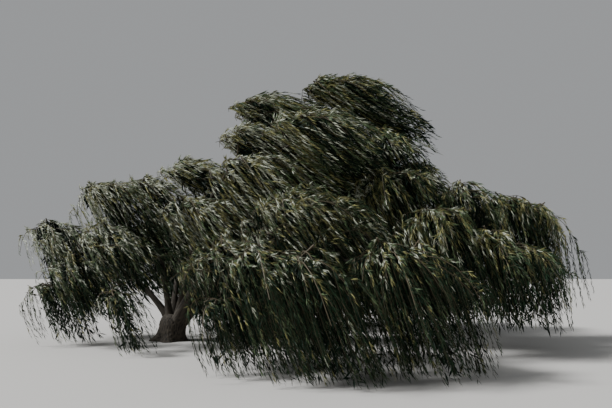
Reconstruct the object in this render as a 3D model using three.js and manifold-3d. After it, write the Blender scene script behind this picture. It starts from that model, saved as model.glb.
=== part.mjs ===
// A weeping willow leaning before a strong wind: a short, wide bole with a flat cut at ground level,
// boughs that fan out of its fork, and masses of streaming foliage that hang round an open space.
// Millimetres, +Z up. The wind blows along +X and the origin is the centre of the cut at the ground.

import * as THREE from "three";
import { mergeVertices } from "three/addons/utils/BufferGeometryUtils.js";
import Module from "manifold-3d";

const wasm = await Module();
wasm.setup();

// The air between two solids that touch in life.
const GAP = 0.3;

const TRUNK = {
  height: 760,
  lean: 90,
  boleRadius: 330,
  forkRadius: 410,
  flareRadius: 230,
  flareHeight: 160,
  buttresses: 5,
  buttressDepth: 0.16,
  sides: 20,
  steps: 5,
};

// A bough stands on its carrier, and its tip stops short of the crests that it carries, by shares of
// their spread. Its curve leaves its carrier steeply and arrives level.
const BOUGH = {
  sides: 5,
  steps: 4,
  tipShare: 0.36,
  seatShare: 0.62,
  seatDepth: 120,
  steepness: 0.75,
  leaveShare: 0.36,
  arriveShare: 0.3,
  tipSink: 0.5,
  tipBack: 0.35,
};

// The stem of a mass, from its bough's tip to its crest.
const STEM = { sides: 3, steps: 2, rootShare: 0.5, tipRadius: 30, sunk: 25, kneeShare: 0.4 };

// A streamer is a long hanging twig, and a mass has one for each spacing in its spread. Its reach, out
// from the stem, and its rise are shares of the spread.
const STREAMER = {
  spacing: 310,
  sides: 3,
  steps: 3,
  rootRadius: 15,
  tipRadius: 9,
  firstSeat: 0.45,
  turn: 2.399963,
  reaches: [0.85, 0.5, 0.68],
  rise: 0.15,
  riseRate: 1.4,
  driftPower: 1.6,
  fallPower: 1.8,
  shorter: 0.12,
  leastShare: 0.45,
  taper: 0.45,
  tests: 12,
};

// One leaf stands for a spray of many. It leaves its streamer at one of these places on it. Its length
// is a share of the spread of its mass, and its width and thickness are shares of its length.
const LEAF = {
  places: [0.2, 0.42, 0.66],
  lengthShare: 1.3,
  widthShare: 0.27,
  thicknessShare: 0.02,
  widestAt: 0.5,
  splay: 0.36,
  lift: 0.42,
  sunk: 6,
  groundClearance: 60,
};

// Each mass of foliage: the bearing of its crest from the trunk in degrees (0 is downwind, and 90 is
// to the left of that), then its reach, its height, its spread, the height of its hem, and how far
// its streamers are blown downwind for each millimetre that they fall.
const MASSES = {
  left_dome: [191, 2600, 4600, 1500, 2500, 0.75],
  left_crest: [167, 950, 5000, 1200, 2900, 0.9],
  left_inner: [222, 2300, 3500, 1400, 1600, 0.65],
  far_left: [172, 4250, 3700, 1350, 1200, 0.55],
  left_low: [216, 2850, 2500, 1200, 900, 0.6],
  left_hem: [197, 3600, 1700, 1000, 250, 0.5],
  left_front: [262, 3450, 1250, 800, 100, 0.45],
  shoulder: [304, 350, 5400, 1500, 3400, 1.4],
  inner_left: [307, 1500, 3950, 1300, 2100, 0.8],
  upper_left: [324, 2500, 6150, 1400, 4200, 1.5],
  mid_slope: [317, 3450, 5000, 1250, 3000, 1.0],
  top_left: [6, 2200, 7500, 1500, 5400, 1.9],
  top_mid: [353, 4250, 7800, 1400, 6100, 1.7],
  top_right: [3, 5900, 8150, 1200, 6200, 0.7],
  upper_mid: [326, 4700, 6150, 1500, 4400, 1.3],
  upper_right: [346, 6200, 6100, 1350, 4000, 0.6],
  right_slope: [336, 6750, 4500, 1500, 2200, 0.45],
  centre_dome: [308, 6050, 3750, 1600, 1900, 0.75],
  front_left: [294, 5350, 2750, 1400, 500, 0.55],
  front_skirt: [291, 6650, 1450, 1000, 80, 0.4],
  front_mid_left: [294, 7100, 2550, 1150, 150, 0.45],
  front_mid: [301, 8050, 2450, 1150, 150, 0.42],
  front_mid_right: [309, 8450, 2600, 1150, 150, 0.36],
  front_right: [317, 8550, 2600, 1150, 200, 0.25],
  right_crest: [354, 7250, 5250, 1400, 3000, 0.4],
  right_upper: [349, 8450, 4550, 1400, 2300, 0.25],
  right_mid: [358, 9700, 4400, 1400, 2000, 0.2],
  far_right: [1, 11400, 4150, 1150, 1300, 0.08],
  right_inner: [331, 7850, 3450, 1500, 1200, 0.35],
  right_low: [348, 9900, 2800, 1350, 800, 0.1],
  right_hem: [338, 9000, 3100, 1400, 1000, 0.28],
  back_left: [121, 3500, 4000, 2000, 1000, 0.7],
  back_mid_left: [80, 4700, 4100, 2000, 700, 0.75],
  back_mid: [54, 7000, 4200, 2100, 300, 0.6],
  back_right: [33, 8900, 4300, 2000, 500, 0.3],
  far_back_right: [16, 10200, 3800, 1800, 900, 0.18],
  back_upper: [43, 4100, 6200, 1900, 3400, 1.2],
  back_upper_right: [20, 6600, 6000, 1900, 3100, 0.6],
};

// Each bough: what carries it, how far along that it springs, its root radius and the masses at its tip.
const BOUGHS = {
  leader: ["trunk", 1, 150, "top_mid", "top_right"],
  right: ["trunk", 1, 160, "right_mid", "far_right"],
  front: ["trunk", 1, 130, "centre_dome"],
  back: ["trunk", 1, 130, "back_mid"],
  mid: ["trunk", 1, 100, "upper_left", "mid_slope"],
  left: ["trunk", 1, 100, "left_dome", "left_crest"],
  far_left: ["trunk", 1, 95, "far_left"],
  back_left: ["trunk", 1, 100, "back_left", "back_mid_left"],
  top_left: ["leader", 0.6, 65, "top_left"],
  upper_mid: ["leader", 0.5, 75, "upper_mid"],
  upper_right: ["leader", 0.65, 70, "upper_right", "right_crest", "right_slope"],
  back_upper: ["leader", 0.45, 80, "back_upper", "back_upper_right"],
  shoulder: ["mid", 0.4, 60, "shoulder", "inner_left"],
  left_inner: ["left", 0.35, 55, "left_inner", "left_front"],
  left_low: ["far_left", 0.35, 60, "left_low", "left_hem"],
  right_upper: ["right", 0.62, 70, "right_upper", "right_inner"],
  right_low: ["right", 0.7, 65, "right_low", "right_hem"],
  front_left: ["front", 0.5, 65, "front_left", "front_skirt"],
  front_mid: ["front", 0.78, 65, "front_mid_left", "front_mid"],
  front_right: ["front", 0.65, 75, "front_mid_right", "front_right"],
  back_right: ["back", 0.6, 80, "back_right", "far_back_right"],
};

const BARK = new THREE.MeshStandardMaterial({ color: 0x3f3a30, roughness: 0.95, metalness: 0 });
const FOLIAGE = new THREE.MeshStandardMaterial({ color: 0x5c6a45, roughness: 0.7, metalness: 0 });

const UP = new THREE.Vector3(0, 0, 1);

function mix(a, b, share) {
  return a + (b - a) * share;
}

// A repeatable run of numbers from 0 to 1.
function chance(seed) {
  let state = Math.imul(seed, 2654435761) >>> 0;
  return () => {
    state = (Math.imul(state, 1664525) + 1013904223) >>> 0;
    return state / 4294967296;
  };
}

// A body is a solid with the box that holds it.
function bodyOf(geometry) {
  geometry.deleteAttribute("normal");
  geometry.deleteAttribute("uv");
  const merged = mergeVertices(geometry, 1e-3);
  const vertProperties = new Float32Array(merged.attributes.position.array);
  const triVerts = new Uint32Array(merged.index.array);
  const solid = new wasm.Manifold(new wasm.Mesh({ numProp: 3, vertProperties, triVerts }));
  return { solid, box: new THREE.Box3().setFromBufferAttribute(merged.attributes.position) };
}

function touches(body, other) {
  if (!body.box.intersectsBox(other.box)) return false;
  const shared = body.solid.intersect(other.solid);
  const touching = !shared.isEmpty();
  shared.delete();
  return touching;
}

function cutClear(body, others) {
  const near = others.filter((other) => body.box.intersectsBox(other.box));
  const solid = wholeBody(near.reduce((rest, other) => rest.subtract(other.solid), body.solid));
  return { solid, box: body.box };
}

function joined(bodies) {
  const solid = wholeBody(bodies.slice(1).reduce((sum, body) => sum.add(body.solid), bodies[0].solid));
  const box = bodies.reduce((sum, body) => sum.union(body.box), new THREE.Box3());
  return { solid, box };
}

function geometryOf(solid) {
  const { vertProperties, triVerts } = solid.getMesh();
  const geometry = new THREE.BufferGeometry();
  geometry.setAttribute("position", new THREE.BufferAttribute(new Float32Array(vertProperties), 3));
  geometry.setIndex(new THREE.BufferAttribute(new Uint32Array(triVerts), 1));
  geometry.computeVertexNormals();
  return geometry;
}

// The largest body of a solid, without loose scraps and with any sealed hollow filled.
function wholeBody(solid) {
  return solid.decompose().reduce((best, body) => (body.volume() > best.volume() ? body : best));
}

// A closed tube round a curve, or the same tube grown all round by a margin. radiusAt(u, angle) is
// its radius at a share of its length.
function tube(curve, radiusAt, { sides, steps }, margin = 0) {
  const { tangents, normals, binormals } = curve.computeFrenetFrames(steps, false);
  const points = [];
  for (let i = 0; i <= steps; i++) {
    const centre = curve.getPointAt(i / steps);
    if (i === 0) centre.addScaledVector(tangents[i], -margin);
    if (i === steps) centre.addScaledVector(tangents[i], margin);
    for (let k = 0; k < sides; k++) {
      const angle = (k / sides) * 2 * Math.PI;
      const radius = radiusAt(i / steps, angle) + margin / Math.cos(Math.PI / sides);
      const across = normals[i].clone().multiplyScalar(radius * Math.cos(angle));
      points.push(centre.clone().add(across).addScaledVector(binormals[i], radius * Math.sin(angle)));
    }
  }
  const faces = [];
  for (let i = 0; i < steps; i++) {
    for (let k = 0; k < sides; k++) {
      const a = i * sides + k;
      const b = i * sides + ((k + 1) % sides);
      faces.push(a, b, b + sides, a, b + sides, a + sides);
    }
  }
  const last = steps * sides;
  for (let k = 1; k < sides - 1; k++) {
    faces.push(0, k + 1, k, last, last + k, last + k + 1);
  }
  return new THREE.BufferGeometry().setFromPoints(points).setIndex(faces);
}

// A tube runs straight from each of its rings to the next. What grows from it is rooted in its middle.
function middleOf(curve, { steps }, place) {
  const ring = Math.min(Math.floor(place * steps), steps - 1);
  const from = curve.getPointAt(ring / steps);
  const to = curve.getPointAt((ring + 1) / steps);
  return from.lerp(to, place * steps - ring);
}

function trunkCurve() {
  const middle = new THREE.Vector3(TRUNK.lean * 0.3, 0, TRUNK.height / 2);
  const fork = new THREE.Vector3(TRUNK.lean, 0, TRUNK.height);
  return new THREE.QuadraticBezierCurve3(new THREE.Vector3(), middle, fork);
}

// The bole widens into the root flare below and into the fork above.
function trunkRadius(u, angle) {
  const flare = Math.exp((-u * TRUNK.height) / TRUNK.flareHeight);
  const ridges = 1 + TRUNK.buttressDepth * flare * Math.cos(TRUNK.buttresses * angle);
  return (mix(TRUNK.boleRadius, TRUNK.forkRadius, u * u) + TRUNK.flareRadius * flare) * ridges;
}

// The lowest ring of the trunk is laid flat on the ground.
function trunkBody(margin) {
  const geometry = tube(trunkCurve(), trunkRadius, TRUNK, margin);
  for (let i = 0; i < TRUNK.sides; i++) {
    geometry.attributes.position.setZ(i, -margin);
  }
  return bodyOf(geometry);
}

function crestsOf() {
  return Object.entries(MASSES).map(([name, [bearing, reach, height, spread, hem, blow]], index) => {
    const angle = THREE.MathUtils.degToRad(bearing);
    const crest = new THREE.Vector3(reach * Math.cos(angle), reach * Math.sin(angle), height);
    return { name, index, crest, spread, hem, blow };
  });
}

// A bough's tip lies under the middle of its crests and a little back towards its carrier.
function boughTip(root, crests) {
  const middle = new THREE.Vector3();
  crests.forEach(({ crest }) => middle.addScaledVector(crest, 1 / crests.length));
  const spread = crests[0].spread;
  const level = middle.clone().sub(root).setZ(0);
  const back = Math.min(BOUGH.tipBack * spread, level.length() / 2);
  return middle.addScaledVector(level.normalize(), -back).addScaledVector(UP, -BOUGH.tipSink * spread);
}

// Boughs that spring from the fork stand round its rim, the steepest of them nearest its middle.
function boughRoot(carrier, along, crests) {
  const seat = carrier.curve.getPointAt(along);
  if (carrier.name !== "trunk") return seat;
  const toCrest = crests[0].crest.clone().sub(seat).normalize();
  const rim = toCrest.clone().setZ(0).multiplyScalar(BOUGH.seatShare * TRUNK.forkRadius);
  return seat.add(rim).addScaledVector(UP, -BOUGH.seatDepth);
}

function boughCurve(carrier, along, crests) {
  const root = boughRoot(carrier, along, crests);
  const tip = boughTip(root, crests);
  const span = tip.clone().sub(root);
  const length = span.length();
  const level = span.clone().setZ(0).normalize();
  const leaving = span.clone().normalize().addScaledVector(UP, BOUGH.steepness).normalize();
  const arriving = span.clone().normalize().add(level).normalize();
  return new THREE.CubicBezierCurve3(
    root,
    root.clone().addScaledVector(leaving, length * BOUGH.leaveShare),
    tip.clone().addScaledVector(arriving, -length * BOUGH.arriveShare),
    tip,
  );
}

// The trunk and the boughs, each cut clear of those before it.
function limbsOf(crests) {
  const limbs = [{ name: "trunk", curve: trunkCurve(), body: trunkBody(0), grown: trunkBody(GAP) }];
  for (const [name, [carrierName, along, rootRadius, ...carried]] of Object.entries(BOUGHS)) {
    const carrier = limbs.find((limb) => limb.name === carrierName);
    const curve = boughCurve(carrier, along, crests.filter((mass) => carried.includes(mass.name)));
    const tipRadius = rootRadius * BOUGH.tipShare;
    const radiusAt = (u) => mix(rootRadius, tipRadius, u);
    const body = cutClear(bodyOf(tube(curve, radiusAt, BOUGH)), limbs.map((limb) => limb.grown));
    const grown = bodyOf(tube(curve, radiusAt, BOUGH, GAP));
    limbs.push({ name, curve, tipRadius, carried, body, grown });
  }
  return limbs;
}

// How far a point lies from the line down which a mass streams, in widths of the mass there.
function farFrom(mass, point) {
  const fall = mass.crest.z - mass.hem;
  const down = (mass.crest.z - point.z) / fall;
  const t = THREE.MathUtils.clamp(down, 0, 1) ** (1 / STREAMER.fallPower);
  const drift = mass.blow * fall * t ** STREAMER.driftPower;
  const beyond = Math.max(0, -down, down - 1) * fall;
  const width = mass.spread * (1 - STREAMER.taper * t);
  return Math.hypot(point.x - mass.crest.x - drift, point.y - mass.crest.y, beyond) / width;
}

// A mass's own space is where no other mass is nearer.
function ownSpace(mass, masses, point) {
  const own = farFrom(mass, point);
  return masses.every((other) => other === mass || farFrom(other, point) > own);
}

// A streamer springs up and out from its seat on the stem, then falls and is carried downwind.
class Streamer extends THREE.Curve {
  constructor(shape) {
    super();
    Object.assign(this, shape, { end: 1 });
  }

  getPoint(share, target = new THREE.Vector3()) {
    const t = share * this.end;
    const out = this.reach * (1 - (1 - t) ** 2);
    const lift = this.rise * Math.sin(Math.PI * Math.min(1, STREAMER.riseRate * t));
    const drift = this.drift * t ** STREAMER.driftPower;
    const fall = this.fall * t ** STREAMER.fallPower;
    target.set(out * Math.cos(this.bearing) + drift, out * Math.sin(this.bearing), lift - fall);
    return target.add(this.seat);
  }
}

// Streamers turn round the stem by the golden angle, and end where they would leave their space.
function streamersOf(mass, masses, stem, draw) {
  const streamers = [];
  const count = Math.round(mass.spread / STREAMER.spacing);
  for (let k = 0; k < count; k++) {
    const seat = middleOf(stem, STEM, mix(STREAMER.firstSeat, 1, (k + 1) / count));
    const bearing = STREAMER.turn * (k + mass.index) + 0.5 * draw();
    const reach = mass.spread * STREAMER.reaches[k % STREAMER.reaches.length];
    const fall = (seat.z - mass.hem) * (1 - STREAMER.shorter * draw());
    const rise = STREAMER.rise * mass.spread;
    const streamer = new Streamer({ seat, bearing, reach, rise, fall, drift: mass.blow * fall });
    const stays = (test) => ownSpace(mass, masses, streamer.getPoint(test / STREAMER.tests));
    let inside = 0;
    while (inside < STREAMER.tests && stays(inside + 1)) inside++;
    streamer.end = inside / STREAMER.tests;
    if (streamer.end >= STREAMER.leastShare) streamers.push(streamer);
  }
  return streamers;
}

// A leaf is an octahedron drawn out from root to tip, broad across and thin through.
function leafBody(root, tip, outward) {
  const along = tip.clone().sub(root);
  const length = along.length();
  along.normalize();
  const across = new THREE.Vector3().crossVectors(along, outward).normalize();
  const through = new THREE.Vector3().crossVectors(across, along);
  const geometry = new THREE.OctahedronGeometry(1);
  const points = geometry.attributes.position;
  for (let i = 0; i < points.count; i++) {
    const at = points.getY(i) > 0.5 ? 1 : points.getY(i) < -0.5 ? 0 : LEAF.widestAt;
    const point = root.clone().addScaledVector(along, at * length);
    point.addScaledVector(across, (points.getX(i) * LEAF.widthShare * length) / 2);
    point.addScaledVector(through, (points.getZ(i) * LEAF.thicknessShare * length) / 2);
    points.setXYZ(i, point.x, point.y, point.z);
  }
  return bodyOf(geometry);
}

// Leaves leave their streamer to the left and the right by turns, and lift off it a little.
function leavesOn(streamer, mass, draw) {
  const reachShare = (LEAF.lengthShare * mass.spread) / streamer.getLength();
  return LEAF.places.map((place, n) => {
    const root = middleOf(streamer, STREAMER, place);
    const along = streamer.getPointAt(Math.min(1, place + reachShare)).sub(root);
    const outward = root.clone().sub(mass.crest).setZ(mass.spread / 2).normalize();
    const side = new THREE.Vector3().crossVectors(along, outward).normalize();
    const splay = (n % 2 ? 1 : -1) * LEAF.splay * (0.6 + 0.8 * draw()) * along.length();
    along.addScaledVector(side, splay).addScaledVector(outward, LEAF.lift * along.length());
    const tip = root.clone().add(along);
    tip.z = Math.max(tip.z, LEAF.groundClearance);
    return leafBody(root.addScaledVector(along.normalize(), -LEAF.sunk), tip, outward);
  });
}

// The stem of a mass starts at its bough's tip. Where masses share the tip, each has a side of it.
function stemCurve(mass, bough) {
  const tip = bough.curve.getPointAt(1);
  const onward = bough.curve.getTangentAt(1);
  const toCrest = mass.crest.clone().sub(tip);
  const aside = toCrest.clone().addScaledVector(onward, -toCrest.dot(onward)).normalize();
  if (bough.carried.length > 1) tip.addScaledVector(aside, STEM.rootShare * bough.tipRadius);
  const root = tip.clone().addScaledVector(onward, -STEM.sunk);
  const knee = tip.clone().addScaledVector(onward, STEM.kneeShare * toCrest.length());
  return new THREE.QuadraticBezierCurve3(root, knee, mass.crest);
}

// The stems of all the masses, each cut clear of the limbs and of the stems before it.
function stemsOf(masses, limbs) {
  const obstacles = limbs.map((limb) => limb.grown);
  return masses.map((mass) => {
    const bough = limbs.find((limb) => limb.carried?.includes(mass.name));
    const curve = stemCurve(mass, bough);
    const radiusAt = (u) => mix(STEM.rootShare * bough.tipRadius, STEM.tipRadius, u);
    const body = cutClear(bodyOf(tube(curve, radiusAt, STEM)), obstacles);
    const grown = bodyOf(tube(curve, radiusAt, STEM, GAP));
    obstacles.push(grown);
    return { mass, curve, body, grown };
  });
}

// A mass grows from one stem. A twig or a leaf that would touch a limb or another mass is left out, and
// so is a leaf that would cross another leaf or another twig of its own mass.
function massBody({ mass, curve, body }, masses, obstacles) {
  const draw = chance(mass.index + 1);
  const isClear = (piece) => !obstacles.some((obstacle) => touches(piece, obstacle));
  const radiusAt = (u) => mix(STREAMER.rootRadius, STREAMER.tipRadius, u);
  const twigs = streamersOf(mass, masses, curve, draw)
    .map((streamer) => ({ streamer, body: bodyOf(tube(streamer, radiusAt, STREAMER)) }))
    .filter(({ body: twig }) => isClear(twig));
  const leaves = [];
  for (const { streamer, body: twig } of twigs) {
    const others = twigs.filter((other) => other.body !== twig).map((other) => other.body);
    for (const leaf of leavesOn(streamer, mass, draw)) {
      const crosses = [...others, ...leaves].some((other) => touches(leaf, other));
      if (!crosses && isClear(leaf)) leaves.push(leaf);
    }
  }
  return joined([body, ...twigs.map((twig) => twig.body), ...leaves]);
}

function named(name, solid, material) {
  const mesh = new THREE.Mesh(geometryOf(solid), material);
  mesh.name = name;
  return mesh;
}

// Limbs come first, then the stems, and each mass keeps clear of all that stands before it.
const willow = new THREE.Group();
const masses = crestsOf();
const limbs = limbsOf(masses);
for (const { name, body } of limbs) {
  willow.add(named(name === "trunk" ? name : `bough_${name}`, body.solid, BARK));
}
const stems = stemsOf(masses, limbs);
const grownMasses = [];
for (const stem of stems) {
  const otherStems = stems.filter((other) => other !== stem);
  const obstacles = [...limbs, ...otherStems].map(({ grown }) => grown);
  const body = massBody(stem, masses, [...obstacles, ...grownMasses]);
  grownMasses.push(body);
  willow.add(named(`foliage_${stem.mass.name}`, body.solid, FOLIAGE));
}

export default willow;
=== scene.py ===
"""A weeping willow before a strong wind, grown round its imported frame. Metres, +Z up, wind along +X."""

import math
from dataclasses import dataclass, field

import bpy
import numpy as np
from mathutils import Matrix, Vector, noise


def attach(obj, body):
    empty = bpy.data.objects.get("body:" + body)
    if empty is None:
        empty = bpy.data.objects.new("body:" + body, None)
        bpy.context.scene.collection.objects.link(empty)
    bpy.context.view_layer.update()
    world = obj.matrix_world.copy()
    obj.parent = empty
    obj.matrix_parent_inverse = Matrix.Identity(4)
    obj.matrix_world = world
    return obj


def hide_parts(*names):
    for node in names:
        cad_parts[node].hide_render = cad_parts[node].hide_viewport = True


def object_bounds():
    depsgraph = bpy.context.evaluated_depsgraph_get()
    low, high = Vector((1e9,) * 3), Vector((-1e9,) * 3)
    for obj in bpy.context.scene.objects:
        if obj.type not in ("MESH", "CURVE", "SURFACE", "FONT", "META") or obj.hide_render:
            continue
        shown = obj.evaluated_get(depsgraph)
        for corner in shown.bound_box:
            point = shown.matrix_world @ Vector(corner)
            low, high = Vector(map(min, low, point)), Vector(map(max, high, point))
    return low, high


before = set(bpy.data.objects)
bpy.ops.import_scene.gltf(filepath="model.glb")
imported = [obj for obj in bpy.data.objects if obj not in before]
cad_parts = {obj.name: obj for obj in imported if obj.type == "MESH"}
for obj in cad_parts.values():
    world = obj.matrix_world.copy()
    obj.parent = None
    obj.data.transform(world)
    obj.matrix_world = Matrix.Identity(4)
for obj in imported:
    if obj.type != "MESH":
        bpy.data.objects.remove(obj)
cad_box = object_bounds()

UP = np.array([0.0, 0.0, 1.0])
WIND = np.array([1.0, 0.0, 0.0])
CURVE_STEPS = 200
TINY = 1e-9

# The trunk and the boughs, as the solids have them. Their meshes add flutes that run up the bole to the
# boughs, a rim that rounds over, and a collar where a bough leaves its carrier, in which it is sunk.
TRUNK = {
    "height": 0.76,
    "lean": 0.09,
    "lean_midway": 0.3,
    "bole_radius": 0.33,
    "fork_radius": 0.41,
    "flare_radius": 0.23,
    "flare_height": 0.16,
    "buttresses": 5,
    "buttress_depth": 0.16,
    "flute_depth": 0.06,
    "flute_width": 0.3,
    "rim": 0.5,
    "rim_fall": 0.75,
    "rings": 60,
    "sides": 144,
}
BOUGH = {
    "tip_share": 0.36,
    "seat_share": 0.62,
    "seat_depth": 0.12,
    "steepness": 0.75,
    "leave_share": 0.36,
    "arrive_share": 0.3,
    "tip_sink": 0.5,
    "tip_back": 0.35,
    "sunk_in_trunk": 0.3,
    "sunk_in_bough": 0.01,
    "collar": 0.5,
    "collar_length": 0.35,
}
STEM = {
    "root_share": 0.5,
    "tip_radius": 0.02,
    "knee_share": 0.4,
    "rings": 9,
    "sides": 6,
}

# Ridges and furrows along the limbs. A bough's faces are as wide as side and as long as step. The depth
# is that of a limb of one metre's radius, and falls with the square root of the radius. The level is the
# height of the relief that lies on the limb's own radius.
BARK = {
    "side": 0.025,
    "step": 0.065,
    "depth": 0.045,
    "level": 0.6,
    "least_radius": 0.05,
    "ridge_width": 0.035,
    "ridge_length": 0.16,
    "ridge_share": 0.75,
    "fine_scale": 2.7,
    "cut_height": 0.5,
    "seed_step": 10,
}

# A mass streams from its crest. Branches fan out round its stem by the golden angle and arch over, and
# bear tussocks of hanging shoots. Lengths across a mass are shares of its spread. A twig is tested at so
# many places, past a first share that is free, and is cut where it lies too many widths of its mass off
# the mass's line, or overlaps another mass too far.
STREAM = {
    "turn": 2.399963,
    "loose_turn": 0.5,
    "rise_rate": 1.4,
    "drift_power": 1.6,
    "fall_power": 1.8,
    "least_share": 0.3,
    "tests": 24,
    "free_share": 0.2,
    "taper": 0.45,
    "overlap": 1.4,
    "widths": 1.6,
}
BRANCH = {
    "per_square_metre": 3.6,
    "first_seat": 0.45,
    "reach": 1.4,
    "rise": 0.15,
    "rise_varies": (0.6, 1.4),
    "ends": (0.2, 0.75),
    "windward": 0.6,
    "shorter": 0.1,
    "steps": 5,
    "root_radius": 0.012,
    "tip_radius": 0.006,
}

# Side branches spring from the boughs between the crests.
SIDE = {
    "spacing": 0.19,
    "first_share": 0.2,
    "reach": (0.5, 1.3),
    "rise": (0.2, 0.6),
    "ends": (0.4, 0.6),
    "least_fall": 0.25,
    "widths": 2.6,
}

# The shoots of a branch, and the sparser ones that hang in the shade inside the crown.
SHOOT = {
    "count": 8,
    "starts": (0.3, 1.0),
    "turning": 0.9,
    "reach": (0.12, 0.45),
    "rise": 0.22,
    "calm_rise": 0.35,
    "falls": (0.75, 1.18),
    "long_power": 0.6,
    "drift_varies": (0.8, 1.2),
    "sway": 0.06,
    "phase_varies": 0.4,
    "steps": 4,
    "root_radius": 0.006,
    "tip_radius": 0.002,
}
SHADE = SHOOT | {
    "count": 2,
    "starts": (0.1, 0.6),
    "turning": 1.4,
    "reach": (0.05, 0.3),
    "rise": 0.0,
    "falls": (0.6, 1.12),
    "sway": 0.05,
    "steps": 3,
}
TWIG_SIDES = 3

# Narrow leaves, and the broader ones on the shoots in the shade, which take the near-black tint of
# painted shade that darkens the inside of the crown. Lengths, widths and spacings are those of a leaf of
# size 1 where the detail is 1.
LEAF = {
    "length": 0.155,
    "width": 0.021,
    "widest_at": 0.4,
    "fold": 0.3,
    "sizes": (0.7, 1.15),
    "spacing": 0.037,
    "least_count": 2,
    "turn": 2.4,
    "loose_turn": 0.7,
    "splay": 0.27,
    "blown": 0.6,
    "loose": 0.12,
    "facing": 0.6,
    "twist": 0.35,
    "in_spray": 5,
}
SHADE_LEAF = LEAF | {
    "length": 0.26,
    "width": 0.05,
    "widest_at": 0.45,
    "fold": 0.2,
    "spacing": 0.054,
    "splay": 0.6,
    "blown": 0.2,
    "loose": 0.35,
    "in_spray": 4,
}

# More sprays than any shoot has, so that each spray has its own number.
SPRAYS_PER_SHOOT = 1000

# How high over the ground twigs and leaves stay.
TWIG_CLEARANCE = 0.03
LEAF_CLEARANCE = 0.015

# The top of a shoot is the side that is turned up, or downwind where the shoot hangs.
TOPWARD = UP + 0.3 * WIND

# The two triangles of a shape with four corners.
KITE = np.array([[0, 1, 2], [0, 2, 3]])

# How fine each part of the crown is: the finer, the more branches and leaves, and the smaller the leaves.
DETAIL = {
    "left": 1.1,
    "middle": 0.7,
    "top": 0.75,
    "front": 1.5,
    "front_right": 1.5,
    "right": 0.85,
    "back": 0.25,
    "far_back": 0.25,
}

# The power of the detail by which branches and leaves grow in number, and leaves shrink.
DETAIL_POWER = 0.5

# How much of the sky and of the wind each part of the crown gets: a painted light that makes its leaves'
# tints lighter or darker.
REGION_LIGHT_AND_WIND = {
    "left": 1.05,
    "middle": 1.06,
    "top": 0.8,
    "front": 0.89,
    "front_right": 0.84,
    "right": 0.98,
    "back": 0.9,
    "far_back": 0.9,
}

# What the side of its mass that a leaf is on adds to that, as painted light, and what is taken off down
# the mass and low over the ground, as painted shade. The silver side of a mass is its windward side,
# where the wind turns up the undersides and the key light falls, and a little of its near side: real
# silver and painted highlight together.
LIGHT_AND_WIND_TERMS = {"facing": 0.25, "down": 1.3, "low": 1.15, "low_height": 2.6}
SILVER_AND_LIT_SIDE = np.array([-0.9, -0.4, 0])

# Each mass of foliage, by the part of the crown that it is in: the bearing of its crest from the trunk
# in degrees (0 is downwind, and 90 is to the left of that), then its reach, its height, its spread, the
# height of its hem, and how far its streamers are blown downwind for each metre that they fall.
REGIONS = {
    "left": {
        "left_dome": (191, 2.6, 4.6, 1.5, 2.5, 0.75),
        "left_crest": (167, 0.95, 5.0, 1.2, 2.9, 0.9),
        "left_inner": (222, 2.3, 3.5, 1.4, 1.6, 0.65),
        "far_left": (172, 4.25, 3.7, 1.35, 1.2, 0.55),
        "left_low": (216, 2.85, 2.5, 1.2, 0.9, 0.6),
        "left_hem": (197, 3.6, 1.7, 1.0, 0.25, 0.5),
        "left_front": (262, 3.45, 1.25, 0.8, 0.1, 0.45),
    },
    "middle": {
        "shoulder": (304, 0.35, 5.4, 1.5, 3.4, 1.4),
        "inner_left": (307, 1.5, 3.95, 1.3, 2.1, 0.8),
        "upper_left": (324, 2.5, 6.15, 1.4, 4.2, 1.5),
        "mid_slope": (317, 3.45, 5.0, 1.25, 3.0, 1.0),
    },
    "top": {
        "top_left": (6, 2.2, 7.5, 1.5, 5.4, 1.9),
        "top_mid": (353, 4.25, 7.8, 1.4, 6.1, 1.7),
        "top_right": (3, 5.9, 8.15, 1.2, 6.2, 0.7),
        "upper_mid": (326, 4.7, 6.15, 1.5, 4.4, 1.3),
        "upper_right": (346, 6.2, 6.1, 1.35, 4.0, 0.6),
        "right_slope": (336, 6.75, 4.5, 1.5, 2.2, 0.45),
    },
    "front": {
        "centre_dome": (308, 6.05, 3.75, 1.6, 1.9, 0.75),
        "front_left": (294, 5.35, 2.75, 1.4, 0.5, 0.55),
        "front_skirt": (291, 6.65, 1.45, 1.0, 0.08, 0.4),
        "front_mid_left": (294, 7.1, 2.55, 1.15, 0.15, 0.45),
    },
    "front_right": {
        "front_mid": (301, 8.05, 2.45, 1.15, 0.15, 0.42),
        "front_mid_right": (309, 8.45, 2.6, 1.15, 0.15, 0.36),
        "front_right": (317, 8.55, 2.6, 1.15, 0.2, 0.25),
    },
    "right": {
        "right_crest": (354, 7.25, 5.25, 1.4, 3.0, 0.4),
        "right_upper": (349, 8.45, 4.55, 1.4, 2.3, 0.25),
        "right_mid": (358, 9.7, 4.4, 1.4, 2.0, 0.2),
        "far_right": (1, 11.4, 4.15, 1.15, 1.3, 0.08),
        "right_inner": (331, 7.85, 3.45, 1.5, 1.2, 0.35),
        "right_low": (348, 9.9, 2.8, 1.35, 0.8, 0.1),
        "right_hem": (338, 9.0, 3.1, 1.4, 1.0, 0.28),
    },
    "back": {
        "back_left": (121, 3.5, 4.0, 2.0, 1.0, 0.7),
        "back_mid_left": (80, 4.7, 4.1, 2.0, 0.7, 0.75),
        "back_mid": (54, 7.0, 4.2, 2.1, 0.3, 0.6),
    },
    "far_back": {
        "back_right": (33, 8.9, 4.3, 2.0, 0.5, 0.3),
        "far_back_right": (16, 10.2, 3.8, 1.8, 0.9, 0.18),
        "back_upper": (43, 4.1, 6.2, 1.9, 3.4, 1.2),
        "back_upper_right": (20, 6.6, 6.0, 1.9, 3.1, 0.6),
    },
}

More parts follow.
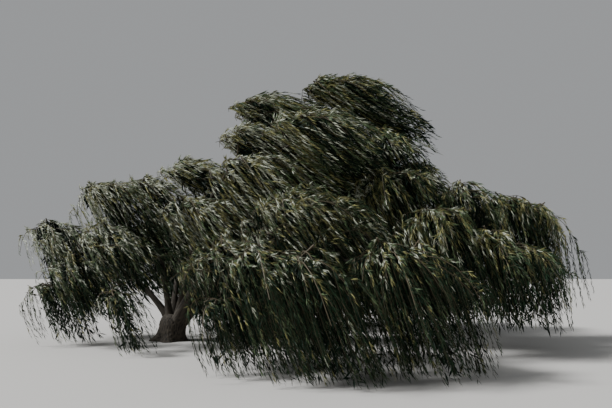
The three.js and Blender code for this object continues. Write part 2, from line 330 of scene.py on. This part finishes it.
# Each bough: what carries it, how far along that it springs, its root radius and the masses at its tip.
BOUGHS = {
    "leader": ("trunk", 1, 0.15, "top_mid", "top_right"),
    "right": ("trunk", 1, 0.16, "right_mid", "far_right"),
    "front": ("trunk", 1, 0.13, "centre_dome"),
    "back": ("trunk", 1, 0.13, "back_mid"),
    "mid": ("trunk", 1, 0.1, "upper_left", "mid_slope"),
    "left": ("trunk", 1, 0.1, "left_dome", "left_crest"),
    "far_left": ("trunk", 1, 0.095, "far_left"),
    "back_left": ("trunk", 1, 0.1, "back_left", "back_mid_left"),
    "top_left": ("leader", 0.6, 0.065, "top_left"),
    "upper_mid": ("leader", 0.5, 0.075, "upper_mid"),
    "upper_right": ("leader", 0.65, 0.07, "upper_right", "right_crest", "right_slope"),
    "back_upper": ("leader", 0.45, 0.08, "back_upper", "back_upper_right"),
    "shoulder": ("mid", 0.4, 0.06, "shoulder", "inner_left"),
    "left_inner": ("left", 0.35, 0.055, "left_inner", "left_front"),
    "left_low": ("far_left", 0.35, 0.06, "left_low", "left_hem"),
    "right_upper": ("right", 0.62, 0.07, "right_upper", "right_inner"),
    "right_low": ("right", 0.7, 0.065, "right_low", "right_hem"),
    "front_left": ("front", 0.5, 0.065, "front_left", "front_skirt"),
    "front_mid": ("front", 0.78, 0.065, "front_mid_left", "front_mid"),
    "front_right": ("front", 0.65, 0.075, "front_mid_right", "front_right"),
    "back_right": ("back", 0.6, 0.08, "back_right", "far_back_right"),
}

# The tints of the leaves, as base colours, and the sheen of each. The wind turns up silvery undersides,
# and silver also stands for the sun on the leaves: partly a painted highlight.
# The two darkest tints are painted shade: the near-black one inside the crown, and the one dealt down the
# masses and low over the ground, far darker than the leaves' own green.
TINTS = {
    "shade": ((0.007, 0.015, 0.009), 0.05),
    "deep": ((0.015, 0.033, 0.016), 0.1),
    "green": ((0.09, 0.135, 0.06), 0.3),
    "olive": ((0.24, 0.235, 0.09), 0.3),
    "silver": ((0.5, 0.53, 0.42), 0.4),
}
LEAF_ROUGHNESS = 0.5

# What share of the sprays outside the shade has each lighter tint, dealt as painted light: the least of
# it, what light and wind add to it, and what their square adds on the lee side of the crown and on its
# windward side. The rest take the dark tint of painted shade.
TINT_SHARES = {
    "silver": (0.01, 0, 0.1, 0.7),
    "olive": (0.04, 0.15, 0.4, 0),
    "green": (0.08, 0.4, 0, 0),
}

TWIG_LOOK = {"color": (0.07, 0.055, 0.028), "roughness": 0.7}
TWIG_GRAIN = {"scale": 60, "strength": 0.3, "distance": 0.002, "detail": 2}
BARK_LOOK = {"color": (0.1, 0.08, 0.06), "roughness": 0.9}
BARK_GRAIN = {"scale": 45, "strength": 0.6, "distance": 0.006, "detail": 6}
FURROW_COLOR = (0.012, 0.01, 0.008)
RIDGE_COLOR = (0.085, 0.07, 0.05)

# The studio: a camera at eye height that looks up a little, a soft key light and a pale floor.
CAMERA = {"place": (4.0, -17.0, 1.9), "tilt": 97.3, "sensor": 36, "lens": 32.94, "clip_end": 1000}
KEY = {"energy": 5.5, "width": 14, "from": (-0.72, -0.08, 0.69)}
WORLD = {"color": (0.82, 0.84, 0.86), "strength": 0.42}
FLOOR = {"half": 300, "height": -0.002, "color": (0.5, 0.49, 0.47), "roughness": 0.9}


@dataclass
class Mass:
    name: str
    region: str
    index: int
    crest: np.ndarray
    spread: float
    hem: float
    blow: float


@dataclass
class Limb:
    path: np.ndarray
    radii: tuple
    carried: tuple = ()


def unit(vectors):
    """Vectors along the last axis, made one metre long."""
    return vectors / np.maximum(np.linalg.norm(vectors, axis=-1, keepdims=True), TINY)


def mix(a, b, share):
    return a + (b - a) * share


def bearing_of(vector):
    """The bearing of a vector seen from above, anticlockwise from downwind."""
    return math.atan2(vector[1], vector[0])


def bezier(*controls):
    """A Bezier curve of any degree as a fine polyline."""
    t = np.linspace(0, 1, CURVE_STEPS + 1)[:, None]
    points = [np.broadcast_to(control, (CURVE_STEPS + 1, 3)) for control in controls]
    while len(points) > 1:
        points = [mix(a, b, t) for a, b in zip(points, points[1:])]
    return points[0]


def length_of(path):
    return np.linalg.norm(np.diff(path, axis=0), axis=1).sum()


def spaced(path, shares):
    """Points of a polyline at shares of its length."""
    steps = np.linalg.norm(np.diff(path, axis=0), axis=1)
    along = np.concatenate([[0], np.cumsum(steps)])
    at = np.asarray(shares) * along[-1]
    return np.stack([np.interp(at, along, path[:, axis]) for axis in range(3)], axis=-1)


def masses_of():
    """Every mass of the crown, in the order of the solids."""
    masses = []
    for region, rows in REGIONS.items():
        for name, (bearing, reach, height, spread, hem, blow) in rows.items():
            angle = math.radians(bearing)
            crest = np.array([reach * math.cos(angle), reach * math.sin(angle), height])
            masses.append(Mass(name, region, len(masses), crest, spread, hem, blow))
    return masses


def trunk_path():
    foot = np.zeros(3)
    middle = np.array([TRUNK["lean"] * TRUNK["lean_midway"], 0, TRUNK["height"] / 2])
    fork = np.array([TRUNK["lean"], 0, TRUNK["height"]])
    return bezier(foot, middle, fork)


def bough_tip(root, crests, spread):
    """A bough's tip lies under the middle of its crests and a little back towards its carrier."""
    middle = np.mean(crests, axis=0)
    level = (middle - root) * (1 - UP)
    back = min(BOUGH["tip_back"] * spread, np.linalg.norm(level) / 2)
    return middle - unit(level) * back - UP * BOUGH["tip_sink"] * spread


def bough_root(carrier_name, carrier, along, first_crest):
    """Boughs that spring from the fork stand round its rim, the steepest of them nearest its middle."""
    seat = spaced(carrier.path, along)
    if carrier_name != "trunk":
        return seat
    rim = unit(first_crest - seat) * (1 - UP) * BOUGH["seat_share"] * TRUNK["fork_radius"]
    return seat + rim - UP * BOUGH["seat_depth"]


def bough_path(root, tip):
    """A bough leaves its carrier steeply and arrives level."""
    span = tip - root
    length = np.linalg.norm(span)
    leaving = unit(unit(span) + UP * BOUGH["steepness"])
    arriving = unit(unit(span) + unit(span * (1 - UP)))
    first = root + leaving * length * BOUGH["leave_share"]
    last = tip - arriving * length * BOUGH["arrive_share"]
    return bezier(root, first, last, tip)


def limbs_of(masses):
    """The trunk and the boughs, each with its centre line and its two radii."""
    limbs = {"trunk": Limb(trunk_path(), (TRUNK["bole_radius"], TRUNK["fork_radius"]))}
    for name, (carrier_name, along, radius, *carried) in BOUGHS.items():
        borne = [mass for mass in masses if mass.name in carried]
        carrier = limbs[carrier_name]
        root = bough_root(carrier_name, carrier, along, borne[0].crest)
        tip = bough_tip(root, [mass.crest for mass in borne], borne[0].spread)
        limbs[name] = Limb(bough_path(root, tip), (radius, radius * BOUGH["tip_share"]), tuple(carried))
    return limbs


def stem_of(mass, limbs):
    """The stem of a mass, from its bough's tip to its crest. Masses that share a tip have a side each."""
    bough = next(limb for limb in limbs.values() if mass.name in limb.carried)
    tip = bough.path[-1]
    onward = unit(bough.path[-1] - bough.path[-2])
    to_crest = mass.crest - tip
    aside = unit(to_crest - onward * (to_crest @ onward))
    radius = STEM["root_share"] * bough.radii[1]
    root = tip + aside * radius if len(bough.carried) > 1 else tip
    knee = root + onward * STEM["knee_share"] * np.linalg.norm(to_crest)
    return Limb(bezier(root - onward * radius, knee, mass.crest), (radius, STEM["tip_radius"]))


def off_stream(mass, points):
    """How far points lie off the line down which a mass streams: downwind of it, to its far side and past
    its ends, in widths of the mass there."""
    fall = mass.crest[2] - mass.hem
    down = (mass.crest[2] - points[..., 2]) / fall
    t = np.clip(down, 0, 1) ** (1 / STREAM["fall_power"])
    drift = mass.blow * fall * t ** STREAM["drift_power"]
    past = np.maximum(0, np.maximum(-down, down - 1)) * fall
    downwind = points[..., 0] - mass.crest[0] - drift
    far_side = points[..., 1] - mass.crest[1]
    width = mass.spread * (1 - STREAM["taper"] * t)
    return np.stack([downwind, far_side, past], axis=-1) / width[..., None]


def far_from(mass, points):
    """How far points lie from the line down which a mass streams, in widths of the mass there."""
    return np.linalg.norm(off_stream(mass, points), axis=-1)


def in_reach(mass, masses, points, widths):
    """Where points are in the mass's own space, over the ground and inside the tree's reach."""
    own = far_from(mass, points)
    others = [far_from(other, points) for other in masses if other is not mass]
    nearest = np.min(others, axis=0)
    low, high = (np.array(corner) for corner in cad_box)
    inside = np.all((points > low) & (points < high), axis=-1)
    near = (own < nearest * STREAM["overlap"]) & (own < widths)
    return inside & near & (points[..., 2] > TWIG_CLEARANCE)


@dataclass
class Streamers:
    """Twigs that spring up and out from their seats, then fall and are carried downwind."""

    seats: np.ndarray
    bearings: np.ndarray
    reaches: np.ndarray
    rises: np.ndarray
    falls: np.ndarray
    drifts: np.ndarray
    ends: np.ndarray
    sway: np.ndarray
    phases: np.ndarray

    def lines(self, share):
        """Points at shares of the way to the end, with a row for each twig."""
        t = self.ends[:, None] * share
        bearings = self.bearings[:, None]
        out = self.reaches[:, None] * (1 - (1 - t) ** 2)
        lift = self.rises[:, None] * np.sin(np.pi * np.minimum(1, STREAM["rise_rate"] * t))
        drift = self.drifts[:, None] * t ** STREAM["drift_power"]
        fall = self.falls[:, None] * t ** STREAM["fall_power"]
        across = self.sway[:, None] * t * np.sin(2 * np.pi * t + self.phases[:, None])
        moved = np.stack(
            [
                out * np.cos(bearings) + drift,
                out * np.sin(bearings) + across,
                lift - fall,
            ],
            axis=-1,
        )
        return self.seats[:, None] + moved

    def cut(self, mass, masses, widths=STREAM["widths"]):
        """The same twigs, each cut where it would leave its mass's space, without those left short."""
        share = np.linspace(0, 1, STREAM["tests"])
        inside = in_reach(mass, masses, self.lines(share[None]), widths) | (share < STREAM["free_share"])
        kept = np.cumprod(inside, axis=1).sum(axis=1) / STREAM["tests"]
        chosen = kept > STREAM["least_share"]
        columns = {name: values[chosen] for name, values in vars(self).items()}
        columns["ends"] = columns["ends"] * kept[chosen]
        return Streamers(**columns)


def together(*groups):
    """Several groups of streamers as one."""
    columns = {}
    for name in vars(groups[0]):
        columns[name] = np.concatenate([getattr(group, name) for group in groups])
    return Streamers(**columns)


def dome_branches(mass, stem, draw):
    """Branches spread over the dome of a mass: the widest spring lowest on the stem and end lowest."""
    fall = mass.crest[2] - mass.hem
    curtain = mass.spread * (mass.spread + fall * math.hypot(1, mass.blow))
    count = round(BRANCH["per_square_metre"] * curtain * DETAIL[mass.region] ** DETAIL_POWER)
    k = np.arange(count)
    wide = np.sqrt((k + 0.5) / count)
    around = STREAM["turn"] * (k + mass.index) + STREAM["loose_turn"] * draw.random(count)
    seats = spaced(stem.path, mix(1, BRANCH["first_seat"], wide))
    falls = (seats[:, 2] - mass.hem) * (1 - BRANCH["shorter"] * draw.random(count))
    return Streamers(
        seats=seats,
        bearings=around + BRANCH["windward"] * min(1, mass.blow) * np.sin(around),
        reaches=mass.spread * BRANCH["reach"] * wide,
        rises=mass.spread * BRANCH["rise"] * mix(*BRANCH["rise_varies"], draw.random(count)),
        falls=falls,
        drifts=mass.blow * falls,
        ends=mix(*BRANCH["ends"], wide),
        sway=np.zeros(count),
        phases=np.zeros(count),
    )


def side_seats(masses, limbs):
    """Seats of side branches along the boughs, for each mass those that lie nearest to it."""
    seats = []
    for name in BOUGHS:
        path = limbs[name].path
        count = int(length_of(path) * (1 - SIDE["first_share"]) / SIDE["spacing"])
        seats.append(spaced(path, np.linspace(SIDE["first_share"], 1, count, endpoint=False)))
    seats = np.concatenate(seats)
    nearest = np.argmin([far_from(mass, seats) for mass in masses], axis=0)
    return {mass.name: seats[nearest == mass.index] for mass in masses}


def side_branches(mass, seats, draw):
    """Branches that spring from the boughs between the crests and arch over like the others."""
    seats = seats[seats[:, 2] - mass.hem > SIDE["least_fall"]]
    count = len(seats)
    falls = seats[:, 2] - mass.hem
    return Streamers(
        seats=seats,
        bearings=STREAM["turn"] * np.arange(count) + STREAM["loose_turn"] * draw.random(count),
        reaches=mass.spread * mix(*SIDE["reach"], draw.random(count)),
        rises=mass.spread * mix(*SIDE["rise"], draw.random(count)),
        falls=falls,
        drifts=mass.blow * falls,
        ends=mix(*SIDE["ends"], draw.random(count)),
        sway=np.zeros(count),
        phases=np.zeros(count),
    )


def shoots_of(mass, branches, form, draw):
    """The tussock of shoots on each branch. They rise less where the wind blows them about less."""
    count = len(branches.seats)
    branch = np.repeat(np.arange(count), form["count"])
    total = len(branch)
    lines = branches.lines(np.linspace(0, 1, STREAM["tests"])[None])
    starts = mix(*form["starts"], draw.random(total))
    seats = lines[branch, (starts * (STREAM["tests"] - 1)).astype(int)]
    falls = (seats[:, 2] - mass.hem) * mix(*form["falls"], draw.random(total) ** form["long_power"])
    rise = mass.spread * form["rise"] * mix(form["calm_rise"], 1, min(1, mass.blow))
    return Streamers(
        seats=seats,
        bearings=branches.bearings[branch] + form["turning"] * draw.normal(0, 1, total),
        reaches=mass.spread * mix(*form["reach"], draw.random(total)),
        rises=rise * draw.random(total),
        falls=falls,
        drifts=mass.blow * falls * mix(*form["drift_varies"], draw.random(total)),
        ends=np.ones(total),
        sway=form["sway"] * falls,
        phases=2 * np.pi * draw.random(count)[branch] + draw.normal(0, form["phase_varies"], total),
    )


def angles_round(sides):
    return np.arange(sides) / sides * 2 * np.pi


def spokes(lines, sides):
    """Directions out from every point of polylines, evenly round the line and square to it."""
    along = unit(np.gradient(lines, axis=-2))
    across = unit(np.cross(lines[..., -1:, :] - lines[..., :1, :], UP))
    across = unit(across - along * np.sum(across * along, axis=-1, keepdims=True))
    through = np.cross(along, across)
    angles = angles_round(sides)[:, None]
    return np.cos(angles) * across[..., None, :] + np.sin(angles) * through[..., None, :]


def tube_wall(rings, sides):
    """The triangles of a tube's wall, ring by ring."""
    a = np.arange(sides)
    b = (a + 1) % sides
    band = np.concatenate([np.stack([a, b, b + sides], 1), np.stack([a, b + sides, a + sides], 1)])
    return (band + (np.arange(rings - 1) * sides)[:, None, None]).reshape(-1, 3)


def tubes(lines, root_radius, tip_radius, sides):
    """Closed tubes round many polylines of one length, as points and triangles."""
    count, rings, _ = lines.shape
    radii = np.linspace(root_radius, tip_radius, rings)[None, :, None, None]
    points = (lines[:, :, None] + radii * spokes(lines, sides)).reshape(-1, 3)
    fan = np.arange(1, sides - 1)
    foot = np.stack([fan * 0, fan + 1, fan], 1)
    tip = np.stack([fan * 0, fan, fan + 1], 1) + (rings - 1) * sides
    one = np.concatenate([tube_wall(rings, sides), foot, tip])
    faces = one + (np.arange(count) * rings * sides)[:, None, None]
    return points, faces.reshape(-1, 3)


def leaf_seats(shoots, form, scale, draw):
    """Where leaves sit: the shoot of each, its number there, its root and the way the shoot runs."""
    steps = np.diff(shoots, axis=1)
    lengths = np.linalg.norm(steps, axis=2).sum(axis=1)
    counts = np.maximum(form["least_count"], (lengths / form["spacing"] / scale).astype(int))
    shoot = np.repeat(np.arange(len(shoots)), counts)
    first = np.repeat(np.cumsum(counts) - counts, counts)
    number = np.arange(len(shoot)) - first
    place = (number + draw.random(len(shoot))) / counts[shoot] * steps.shape[1]
    ring = np.minimum(place.astype(int), steps.shape[1] - 1)
    step = steps[shoot, ring]
    roots = shoots[shoot, ring] + step * (place - ring)[:, None]
    return shoot, number, roots, unit(step)


def leaves_on(shoots, form, mass, draw):
    """Leaves in sprays along shoots: four corners each, folded on the midrib, and the spray of each."""
    scale = DETAIL[mass.region] ** -DETAIL_POWER
    shoot, number, roots, along = leaf_seats(shoots, form, scale, draw)
    count = len(shoot)
    turn = form["turn"] * number + form["loose_turn"] * draw.random(count) * 2 * np.pi
    side = unit(np.cross(along, TOPWARD))
    top = np.cross(side, along)
    splay = np.cos(turn)[:, None] * side + np.sin(turn)[:, None] * top
    loose = draw.normal(0, form["loose"], (count, 3))
    heading = unit(along + form["splay"] * splay + form["blown"] * mass.blow * WIND + loose)
    twist = draw.normal(0, form["twist"], (count, 3))
    flat = unit(np.cross(heading, splay + form["facing"] * top + twist))
    normal = np.cross(flat, heading)
    size = scale * mix(*form["sizes"], draw.random(count))[:, None]
    tips = roots + heading * form["length"] * size
    middle = mix(roots, tips, form["widest_at"])
    half = flat * form["width"] * size / 2
    raised = normal * form["width"] * size * form["fold"]
    corners = np.stack([roots, middle + half + raised, tips, middle - half + raised], axis=1)
    return corners, shoot * SPRAYS_PER_SHOOT + number // form["in_spray"]


def windward(mass):
    """How far windward a mass stands in the crown, from 0 to 1."""
    near = cad_box[0][0]
    far = cad_box[1][0]
    return 1 - (mass.crest[0] - near) / (far - near)


def light_and_wind(mass, points):
    """How far wind and sky light reach points of a mass, from 0 under its hem to 1 on its windward crest.
    The tints dealt by it paint light on the crests and shade down the mass and low over the ground.
    """
    down = np.clip((mass.crest[2] - points[:, 2]) / (mass.crest[2] - mass.hem), 0, 1)
    facing = np.clip(off_stream(mass, points) @ SILVER_AND_LIT_SIDE, -1, 1)
    low = np.clip(1 - points[:, 2] / LIGHT_AND_WIND_TERMS["low_height"], 0, 1)
    lit_and_blown = REGION_LIGHT_AND_WIND[mass.region] + LIGHT_AND_WIND_TERMS["facing"] * facing
    lit_and_blown = lit_and_blown - LIGHT_AND_WIND_TERMS["down"] * down / (1 + mass.blow) - LIGHT_AND_WIND_TERMS["low"] * low
    return np.clip(lit_and_blown, 0, 1)


def tints_of(mass, corners, sprays, draw):
    """A tint for each leaf, dealt out by spray: lighter tints where the mass is lit and windward, as
    painted light, and the dark one down the mass and low, as painted shade. Silver shows most where the
    wind meets the mass.
    """
    _, spray = np.unique(sprays, return_inverse=True)
    centres = np.stack([np.bincount(spray, corners[:, 0, axis]) for axis in range(3)], axis=-1)
    centres /= np.bincount(spray)[:, None]
    lit_and_blown = light_and_wind(mass, centres)
    lot = draw.random(len(centres))
    order = list(TINTS)
    tints = np.full(len(centres), order.index("deep"))
    dealt = np.zeros(len(centres))
    for name, (least, by_light_and_wind, in_lee, to_windward) in TINT_SHARES.items():
        share = least + by_light_and_wind * lit_and_blown + mix(in_lee, to_windward, windward(mass)) * lit_and_blown**2
        tints[(lot >= dealt) & (lot < dealt + share)] = order.index(name)
        dealt += share
    return tints[spray]


@dataclass
class Foliage:
    """One part of the crown: its leaves' corners and tints, and its twigs' points and faces."""

    leaves: list = field(default_factory=list)
    twigs: list = field(default_factory=list)

    def add_twigs(self, twigs, form):
        """Adds twigs as thin tubes, and returns their lines."""
        lines = twigs.lines(np.linspace(0, 1, form["steps"] + 1)[None])
        self.twigs.append(tubes(lines, form["root_radius"], form["tip_radius"], TWIG_SIDES))
        return lines

    def add_leaves(self, corners, tints):
        """Adds leaves, without those that would reach the ground."""
        clear = corners[:, :, 2].min(axis=1) > LEAF_CLEARANCE
        self.leaves.append((corners[clear], tints[clear]))


def grow(mass, masses, limbs, seats, foliage):
    """Adds the twigs and the leaves of one mass."""
    draw = np.random.default_rng(mass.index + 1)
    stem = stem_of(mass, limbs)
    dome = dome_branches(mass, stem, draw).cut(mass, masses)
    sides = side_branches(mass, seats, draw).cut(mass, masses, SIDE["widths"])
    branches = together(dome, sides)
    shoots = together(
        shoots_of(mass, dome, SHOOT, draw).cut(mass, masses),
        shoots_of(mass, sides, SHOOT, draw).cut(mass, masses, SIDE["widths"]),
    )
    inner = shoots_of(mass, branches, SHADE, draw).cut(mass, masses, SIDE["widths"])
    stem_line = spaced(stem.path, np.linspace(0, 1, STEM["rings"]))[None]
    foliage.twigs.append(tubes(stem_line, *stem.radii, STEM["sides"]))
    foliage.add_twigs(branches, BRANCH)
    shoot_lines = foliage.add_twigs(shoots, SHOOT)
    inner_lines = foliage.add_twigs(inner, SHADE)
    corners, sprays = leaves_on(shoot_lines, LEAF, mass, draw)
    foliage.add_leaves(corners, tints_of(mass, corners, sprays, draw))
    # The leaves inside the crown take the near-black tint: painted shade.
    corners, _ = leaves_on(inner_lines, SHADE_LEAF, mass, draw)
    foliage.add_leaves(corners, np.full(len(corners), list(TINTS).index("shade")))


def joined(parts):
    """Several meshes as one, each given by its points and its triangles."""
    offsets = np.cumsum([0] + [len(points) for points, _ in parts])
    points = np.concatenate([points for points, _ in parts])
    faces = np.concatenate([faces + offset for (_, faces), offset in zip(parts, offsets)])
    return points, faces


def mesh_object(name, points, faces, materials, face_materials=None, smooth=False):
    """A mesh of triangles as an object at the origin."""
    mesh = bpy.data.meshes.new(name)
    mesh.vertices.add(len(points))
    mesh.vertices.foreach_set("co", points.astype(np.float32).ravel())
    mesh.loops.add(faces.size)
    mesh.loops.foreach_set("vertex_index", faces.astype(np.int32).ravel())
    mesh.polygons.add(len(faces))
    mesh.polygons.foreach_set("loop_start", np.arange(0, faces.size, 3, dtype=np.int32))
    for material in materials:
        mesh.materials.append(material)
    if face_materials is not None:
        mesh.polygons.foreach_set("material_index", face_materials.astype(np.int32))
    mesh.polygons.foreach_set("use_smooth", np.full(len(faces), smooth))
    mesh.update(calc_edges=True)
    piece = bpy.data.objects.new(name, mesh)
    bpy.context.scene.collection.objects.link(piece)
    return piece


def principled(name, color, roughness):
    """A new material, its shader and its node tree."""
    material = bpy.data.materials.new(name)
    material.use_nodes = True
    shader = material.node_tree.nodes["Principled BSDF"]
    shader.inputs["Base Color"].default_value = (*color, 1)
    shader.inputs["Roughness"].default_value = roughness
    return material, shader, material.node_tree


def add_grain(tree, shader, scale, strength, distance, detail):
    """Adds a fine procedural relief to a material."""
    coordinates = tree.nodes.new("ShaderNodeTexCoord")
    texture = tree.nodes.new("ShaderNodeTexNoise")
    bump = tree.nodes.new("ShaderNodeBump")
    texture.inputs["Scale"].default_value = scale
    texture.inputs["Detail"].default_value = detail
    bump.inputs["Strength"].default_value = strength
    bump.inputs["Distance"].default_value = distance
    tree.links.new(coordinates.outputs["Object"], texture.inputs["Vector"])
    tree.links.new(texture.outputs["Fac"], bump.inputs["Height"])
    tree.links.new(bump.outputs["Normal"], shader.inputs["Normal"])


def leaf_materials():
    made = []
    for name, (color, sheen) in TINTS.items():
        material, shader, _ = principled(f"leaf_{name}", color, LEAF_ROUGHNESS)
        shader.inputs["Specular IOR Level"].default_value = sheen
        made.append(material)
    return made


def twig_material():
    material, shader, tree = principled("twig_bark", **TWIG_LOOK)
    add_grain(tree, shader, **TWIG_GRAIN)
    return material


def bark_material():
    """Grey-brown bark, darker in its furrows, with a fine grain."""
    material, shader, tree = principled("willow_bark", **BARK_LOOK)
    add_grain(tree, shader, **BARK_GRAIN)
    relief = tree.nodes.new("ShaderNodeAttribute")
    relief.attribute_name = "relief"
    ramp = tree.nodes.new("ShaderNodeValToRGB")
    ramp.color_ramp.elements[0].color = (*FURROW_COLOR, 1)
    ramp.color_ramp.elements[1].color = (*RIDGE_COLOR, 1)
    tree.links.new(relief.outputs["Fac"], ramp.inputs["Fac"])
    tree.links.new(ramp.outputs["Color"], shader.inputs["Base Color"])
    return material


def furrows(angles, along, radii, seed):
    """The height of the bark's ridges, from 0 to 1, in a grid of rings and angles."""
    heights = np.empty((len(along), len(angles)))
    for i, (s, radius) in enumerate(zip(along, radii)):
        girth = max(radius, BARK["least_radius"]) / BARK["ridge_width"]
        height = s / BARK["ridge_length"] + seed
        for k, angle in enumerate(angles):
            place = Vector((girth * math.cos(angle), girth * math.sin(angle), height))
            ridge = 1 - abs(noise.noise(place)) * 2
            fine = noise.noise(place * BARK["fine_scale"])
            heights[i, k] = BARK["ridge_share"] * ridge + (1 - BARK["ridge_share"]) * fine
    return np.clip(heights, 0, 1)


def limb_mesh(path, radii, seed):
    """A closed limb from its radii in rings: points, triangles and the bark's height at each point."""
    rings, sides = radii.shape
    shares = np.linspace(0, 1, rings)
    line = spaced(path, shares)
    mean_radii = radii.mean(axis=1)
    relief = furrows(angles_round(sides), shares * length_of(line), mean_radii, seed)
    depths = BARK["depth"] * np.sqrt(mean_radii)[:, None]
    swollen = radii + depths * (relief - BARK["level"])
    wall = line[:, None] + swollen[:, :, None] * spokes(line, sides)
    points = np.concatenate([wall.reshape(-1, 3), line[:1], line[-1:]])
    a = np.arange(sides)
    b = (a + 1) % sides
    last_ring = (rings - 1) * sides
    foot = np.stack([b, a, np.full(sides, rings * sides)], 1)
    tip = np.stack([a + last_ring, b + last_ring, np.full(sides, rings * sides + 1)], 1)
    faces = np.concatenate([tube_wall(rings, sides), foot, tip])
    heights = np.concatenate([relief.ravel(), np.full(2, BARK["cut_height"])])
    return points, faces, heights


def bark_piece(name, parts, material, nodes):
    """One piece of bark from the limbs given, standing for their nodes."""
    points, faces = joined([(points, faces) for points, faces, _ in parts])
    heights = np.concatenate([heights for _, _, heights in parts])
    piece = mesh_object(name, points, faces, [material], smooth=True)
    attribute = piece.data.attributes.new("relief", "FLOAT", "POINT")
    attribute.data.foreach_set("value", heights.astype(np.float32))
    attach(piece, "root")
    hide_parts(*nodes)


def trunk_radius(u, angle, bearings):
    """The bole widens into the root flare below and the fork above, where a flute runs up to each bough
    and the rim rounds over."""
    flare = math.exp(-u * TRUNK["height"] / TRUNK["flare_height"])
    ridges = 1 + TRUNK["buttress_depth"] * flare * math.cos(TRUNK["buttresses"] * angle)
    aside = np.abs((angle - bearings + math.pi) % (2 * math.pi) - math.pi)
    flute = TRUNK["flute_depth"] * u * np.exp(-((aside / TRUNK["flute_width"]) ** 2)).max()
    width = mix(TRUNK["bole_radius"], TRUNK["fork_radius"], u * u) + TRUNK["flare_radius"] * flare
    rim = max(0, (u - 1) / TRUNK["rim"] + 1)
    return (width * ridges + flute) * math.sqrt(1 - TRUNK["rim_fall"] * rim**2)


def make_trunk(limbs, material):
    """The trunk, cut flat at the ground. Its angles are measured from its mesh's first side."""
    trunk = limbs["trunk"]
    fork = trunk.path[-1]
    first_side = bearing_of(np.cross(fork - trunk.path[0], UP))
    roots = [limbs[name].path[0] for name, (carrier, *_) in BOUGHS.items() if carrier == "trunk"]
    bearings = np.array([bearing_of(root - fork) for root in roots]) - first_side
    shares = np.linspace(0, 1, TRUNK["rings"])
    angles = angles_round(TRUNK["sides"])
    radii = np.array([[trunk_radius(u, angle, bearings) for angle in angles] for u in shares])
    points, faces, heights = limb_mesh(trunk.path, radii, 0)
    points[:, 2] = np.maximum(points[:, 2], 0)
    points[: TRUNK["sides"], 2] = 0
    bark_piece("trunk_bark", [(points, faces, heights)], material, ["trunk"])


def bough_mesh(limb, sunk, seed):
    """A bough that starts inside its carrier and has a collar where it comes out."""
    leaving = unit(limb.path[1] - limb.path[0])
    path = np.concatenate([[limb.path[0] - leaving * sunk], limb.path])
    length = length_of(path)
    sides = round(2 * math.pi * limb.radii[0] / BARK["side"])
    rings = round(length / BARK["step"])
    radii = []
    for u in np.linspace(0, 1, rings):
        clear = max(0, u * length - sunk)
        collar = 1 + BOUGH["collar"] * math.exp(-clear / BOUGH["collar_length"])
        radii.append([mix(*limb.radii, u) * collar] * sides)
    return limb_mesh(path, np.array(radii), seed)


def make_boughs(limbs, material):
    """All the boughs as one piece, each with furrows of its own."""
    parts = []
    for number, (name, (carrier, *_)) in enumerate(BOUGHS.items()):
        sunk = BOUGH["sunk_in_trunk"] if carrier == "trunk" else BOUGH["sunk_in_bough"]
        parts.append(bough_mesh(limbs[name], sunk, BARK["seed_step"] * number))
    bark_piece("boughs_bark", parts, material, [f"bough_{name}" for name in BOUGHS])


def make_leaves(region, leaves, materials):
    """The leaves of one part of the crown, each of two triangles."""
    corners = np.concatenate([corners for corners, _ in leaves])
    tints = np.concatenate([tints for _, tints in leaves])
    faces = (KITE + (np.arange(len(corners)) * corners.shape[1])[:, None, None]).reshape(-1, 3)
    face_tints = np.repeat(tints, len(KITE))
    return mesh_object(f"leaves_{region}", corners.reshape(-1, 3), faces, materials, face_tints)


def make_foliage(masses, limbs):
    """The leaves and the twigs of each part of the crown, joined, each kind apart."""
    leaf_tints = leaf_materials()
    twig = twig_material()
    seats = side_seats(masses, limbs)
    for region in REGIONS:
        foliage = Foliage()
        own = [mass for mass in masses if mass.region == region]
        for mass in own:
            grow(mass, masses, limbs, seats[mass.name], foliage)
        leaves = make_leaves(region, foliage.leaves, leaf_tints)
        twigs = mesh_object(f"twigs_{region}", *joined(foliage.twigs), [twig])
        for piece, slot in ((leaves, "foliage"), (twigs, "bark")):
            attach(piece, "root")
            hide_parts(*(f"foliage_{mass.name}" for mass in own))


def make_camera():
    """The camera stands seventeen metres before the trunk, with its tilt measured from straight down."""
    camera = bpy.data.cameras.new("camera")
    camera.sensor_width = CAMERA["sensor"]
    camera.lens = CAMERA["lens"]
    camera.clip_end = CAMERA["clip_end"]
    placed = bpy.data.objects.new("camera", camera)
    placed.location = CAMERA["place"]
    placed.rotation_euler = (math.radians(CAMERA["tilt"]), 0, 0)
    bpy.context.scene.collection.objects.link(placed)
    bpy.context.scene.camera = placed


def make_light():
    """A broad soft key light from the upper left, and pale light from all round."""
    sun = bpy.data.lights.new("key", "SUN")
    sun.energy = KEY["energy"]
    sun.angle = math.radians(KEY["width"])
    key = bpy.data.objects.new("key", sun)
    key.rotation_mode = "QUATERNION"
    key.rotation_quaternion = Vector(KEY["from"]).to_track_quat("Z", "Y")
    bpy.context.scene.collection.objects.link(key)
    world = bpy.data.worlds.new("studio")
    world.use_nodes = True
    background = world.node_tree.nodes["Background"]
    background.inputs["Color"].default_value = (*WORLD["color"], 1)
    background.inputs["Strength"].default_value = WORLD["strength"]
    bpy.context.scene.world = world


def make_floor():
    """A plain pale floor, just under the cut of the trunk."""
    signs = ((-1, -1), (1, -1), (1, 1), (-1, 1))
    corners = np.array([[x * FLOOR["half"], y * FLOOR["half"], FLOOR["height"]] for x, y in signs])
    material, _, _ = principled("floor", FLOOR["color"], FLOOR["roughness"])
    floor = mesh_object("floor", corners, KITE, [material])


make_camera()
make_light()
make_floor()
masses = masses_of()
limbs = limbs_of(masses)
bark = bark_material()
make_trunk(limbs, bark)
make_boughs(limbs, bark)
make_foliage(masses, limbs)
